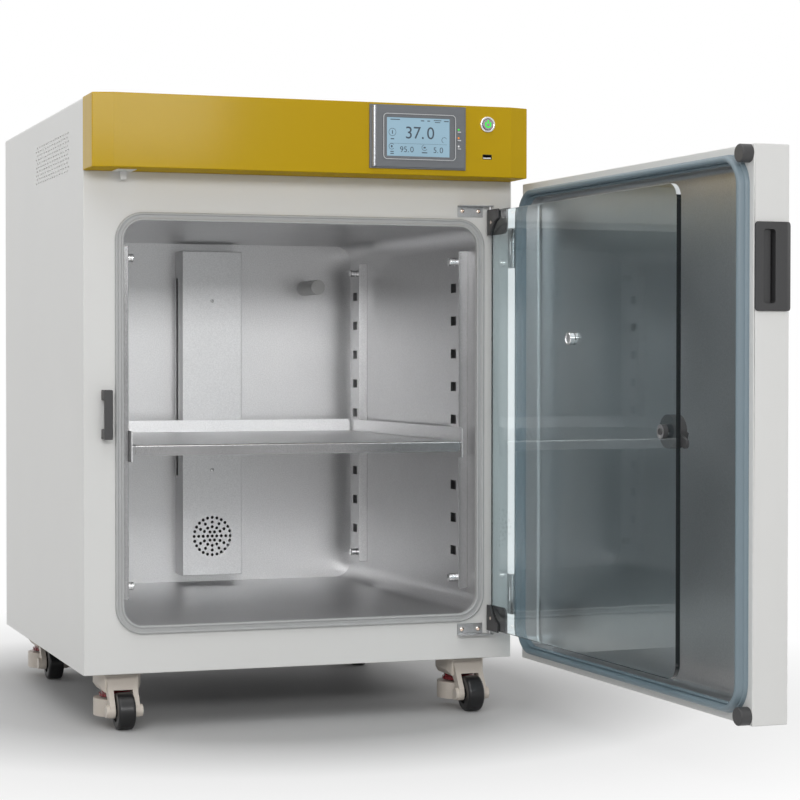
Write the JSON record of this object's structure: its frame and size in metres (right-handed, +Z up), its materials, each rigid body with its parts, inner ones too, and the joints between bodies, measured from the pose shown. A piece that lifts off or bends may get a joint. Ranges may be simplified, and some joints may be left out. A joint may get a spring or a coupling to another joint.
{
  "type": "laboratory incubator",
  "caption": "Floor-standing laboratory incubator with a rounded stainless chamber, inner glass door, insulated outer door, control hood with display, and levelling castors.",
  "frame": {"origin": "on the floor under the middle of the cabinet's footprint", "axes": "+Z up, +X to the right seen from the front, the doors face -Y"},
  "size_m": [0.7015, 1.2621, 0.852],
  "materials": {
    "white_paint": "satin",
    "yellow_paint": "satin",
    "stainless": "satin",
    "bright_metal": "polished",
    "black_plastic": "satin",
    "grey_plastic": "matte",
    "ivory_plastic": "satin",
    "red_plastic": "gloss",
    "grey_rubber": "matte",
    "blue_rubber": "matte",
    "black_rubber": "matte",
    "foam": "matte",
    "heater": "matte",
    "bezel_plastic": "gloss",
    "screen": "gloss",
    "lamp": "gloss",
    "board": "satin",
    "supply_metal": "satin",
    "brass": "satin",
    "glass": "polished"
  },
  "bodies": {
    "cabinet": {"cabinet_wrap": "white_paint", "front_frame": "white_paint", "base_pan": "white_paint", "rear_panel": "white_paint", "chamber_liner": "stainless", "insulation": "foam", "heating_mats": "heater", "chamber_gasket": "grey_rubber", "control_hood": "yellow_paint", "display_bezel": "bezel_plastic", "display_screen": "screen", "indicator_lamps": "lamp", "power_button_ring": "bright_metal", "usb_socket": "stainless", "door_switch_bracket": "grey_plastic", "control_board": "board", "power_supply": "supply_metal", "gas_valve": "brass", "gas_sensor": "grey_plastic", "power_inlet": "black_plastic", "duct_cover": "stainless", "fan_motor": "supply_metal", "shelf_uprights": "stainless", "upright_thumb_nuts": "bright_metal", "shelf_supports": "stainless", "glass_hinge_brackets": "stainless", "latch_keeper": "black_plastic", "door_hinge_frame_leaves": "stainless", "castor_plates": "ivory_plastic"},
    "outer_door": {"door_shell": "white_paint", "door_liner": "stainless", "door_insulation": "foam", "door_gasket": "blue_rubber", "door_handle": "black_plastic", "door_buffers": "black_rubber", "door_hinge_door_leaves": "stainless"},
    "glass_door": {"glass_pane": "glass", "glass_hinge_clamps": "black_plastic", "glass_sample_port": "bright_metal"},
    "glass_latch": {"glass_latch_knob": "black_plastic"},
    "shelf": {"shelf": "stainless"},
    "power_button": {"power_button_cap": "bright_metal"},
    "door_switch": {"door_switch_lever": "grey_plastic"},
    "fan": {"fan_impeller": "black_plastic"},
    "castor_fl": {"castor_fork_fl": "ivory_plastic"},
    "wheel_fl": {"castor_wheel_fl": "black_rubber"},
    "pad_fl": {"levelling_pad_fl": "ivory_plastic"},
    "adjuster_fl": {"pad_adjuster_fl": "red_plastic"},
    "castor_fr": {"castor_fork_fr": "ivory_plastic"},
    "wheel_fr": {"castor_wheel_fr": "black_rubber"},
    "pad_fr": {"levelling_pad_fr": "ivory_plastic"},
    "adjuster_fr": {"pad_adjuster_fr": "red_plastic"},
    "castor_rl": {"castor_fork_rl": "ivory_plastic"},
    "wheel_rl": {"castor_wheel_rl": "black_rubber"},
    "pad_rl": {"levelling_pad_rl": "ivory_plastic"},
    "adjuster_rl": {"pad_adjuster_rl": "red_plastic"},
    "castor_rr": {"castor_fork_rr": "ivory_plastic"},
    "wheel_rr": {"castor_wheel_rr": "black_rubber"},
    "pad_rr": {"levelling_pad_rr": "ivory_plastic"},
    "adjuster_rr": {"pad_adjuster_rr": "red_plastic"}
  },
  "joints": [
    {"name": "outer_door_hinge", "type": "hinge", "parent": "cabinet", "child": "outer_door", "pos_m": [0.315, -0.3077, 0.413], "axis": [0, 0, 1], "range_deg": [-91.8, 18]},
    {"name": "glass_door_hinge", "type": "hinge", "parent": "cabinet", "child": "glass_door", "pos_m": [0.2743, -0.3079, 0.4145], "axis": [0, 0, 1], "range_deg": [-91.8, 18]},
    {"name": "glass_latch_turn", "type": "hinge", "parent": "glass_door", "child": "glass_latch", "pos_m": [0.29486, -0.81581, 0.4145], "axis": [0.9995, 0.0314, 0], "range_deg": [-22, 68]},
    {"name": "shelf_slide", "type": "slide", "parent": "cabinet", "child": "shelf", "axis": [0, -1, 0], "range_m": [0, 0.3]},
    {"name": "power_button_press", "type": "slide", "parent": "cabinet", "child": "power_button", "axis": [0, 1, 0], "range_m": [0, 0.0025], "stiffness_N_per_m": 600},
    {"name": "door_switch_flag", "type": "hinge", "parent": "cabinet", "child": "door_switch", "pos_m": [-0.258, -0.3124, 0.758], "axis": [1, 0, 0], "range_deg": [0, 25], "stiffness_Nm_per_rad": 0.02},
    {"name": "fan_spin", "type": "hinge", "parent": "cabinet", "child": "fan", "pos_m": [0.005, 0.22, 0.2175], "axis": [0, 1, 0], "continuous": true},
    {"name": "castor_swivel_fl", "type": "hinge", "parent": "cabinet", "child": "castor_fl", "pos_m": [-0.253, -0.245, 0.06], "axis": [0, 0, 1], "continuous": true},
    {"name": "wheel_roll_fl", "type": "hinge", "parent": "castor_fl", "child": "wheel_fl", "pos_m": [-0.253, -0.29, 0.025], "axis": [1, 0, 0], "continuous": true},
    {"name": "adjuster_turn_fl", "type": "hinge", "parent": "castor_fl", "child": "adjuster_fl", "pos_m": [-0.253, -0.245, 0.044], "axis": [0, 0, 1], "range_deg": [0, 3600]},
    {"name": "pad_travel_fl", "type": "slide", "parent": "castor_fl", "child": "pad_fl", "axis": [0, 0, -1], "range_m": [0, 0.0175]},
    {"name": "castor_swivel_fr", "type": "hinge", "parent": "cabinet", "child": "castor_fr", "pos_m": [0.253, -0.245, 0.06], "axis": [0, 0, 1], "continuous": true},
    {"name": "wheel_roll_fr", "type": "hinge", "parent": "castor_fr", "child": "wheel_fr", "pos_m": [0.253, -0.29, 0.025], "axis": [1, 0, 0], "continuous": true},
    {"name": "adjuster_turn_fr", "type": "hinge", "parent": "castor_fr", "child": "adjuster_fr", "pos_m": [0.253, -0.245, 0.044], "axis": [0, 0, 1], "range_deg": [0, 3600]},
    {"name": "pad_travel_fr", "type": "slide", "parent": "castor_fr", "child": "pad_fr", "axis": [0, 0, -1], "range_m": [0, 0.0175]},
    {"name": "castor_swivel_rl", "type": "hinge", "parent": "cabinet", "child": "castor_rl", "pos_m": [-0.253, 0.245, 0.06], "axis": [0, 0, 1], "continuous": true},
    {"name": "wheel_roll_rl", "type": "hinge", "parent": "castor_rl", "child": "wheel_rl", "pos_m": [-0.253, 0.2, 0.025], "axis": [1, 0, 0], "continuous": true},
    {"name": "adjuster_turn_rl", "type": "hinge", "parent": "castor_rl", "child": "adjuster_rl", "pos_m": [-0.253, 0.245, 0.044], "axis": [0, 0, 1], "range_deg": [0, 3600]},
    {"name": "pad_travel_rl", "type": "slide", "parent": "castor_rl", "child": "pad_rl", "axis": [0, 0, -1], "range_m": [0, 0.0175]},
    {"name": "castor_swivel_rr", "type": "hinge", "parent": "cabinet", "child": "castor_rr", "pos_m": [0.253, 0.245, 0.06], "axis": [0, 0, 1], "continuous": true},
    {"name": "wheel_roll_rr", "type": "hinge", "parent": "castor_rr", "child": "wheel_rr", "pos_m": [0.253, 0.2, 0.025], "axis": [1, 0, 0], "continuous": true},
    {"name": "adjuster_turn_rr", "type": "hinge", "parent": "castor_rr", "child": "adjuster_rr", "pos_m": [0.253, 0.245, 0.044], "axis": [0, 0, 1], "range_deg": [0, 3600]},
    {"name": "pad_travel_rr", "type": "slide", "parent": "castor_rr", "child": "pad_rr", "axis": [0, 0, -1], "range_m": [0, 0.0175]}
  ],
  "couplings": [
    {"joint": "glass_door_hinge", "follows": "outer_door_hinge", "ratio": 1},
    {"joint": "adjuster_turn_fl", "follows": "pad_travel_fl", "rad_per_m": 3590},
    {"joint": "adjuster_turn_fr", "follows": "pad_travel_fr", "rad_per_m": 3590},
    {"joint": "adjuster_turn_rl", "follows": "pad_travel_rl", "rad_per_m": 3590},
    {"joint": "adjuster_turn_rr", "follows": "pad_travel_rr", "rad_per_m": 3590}
  ]
}
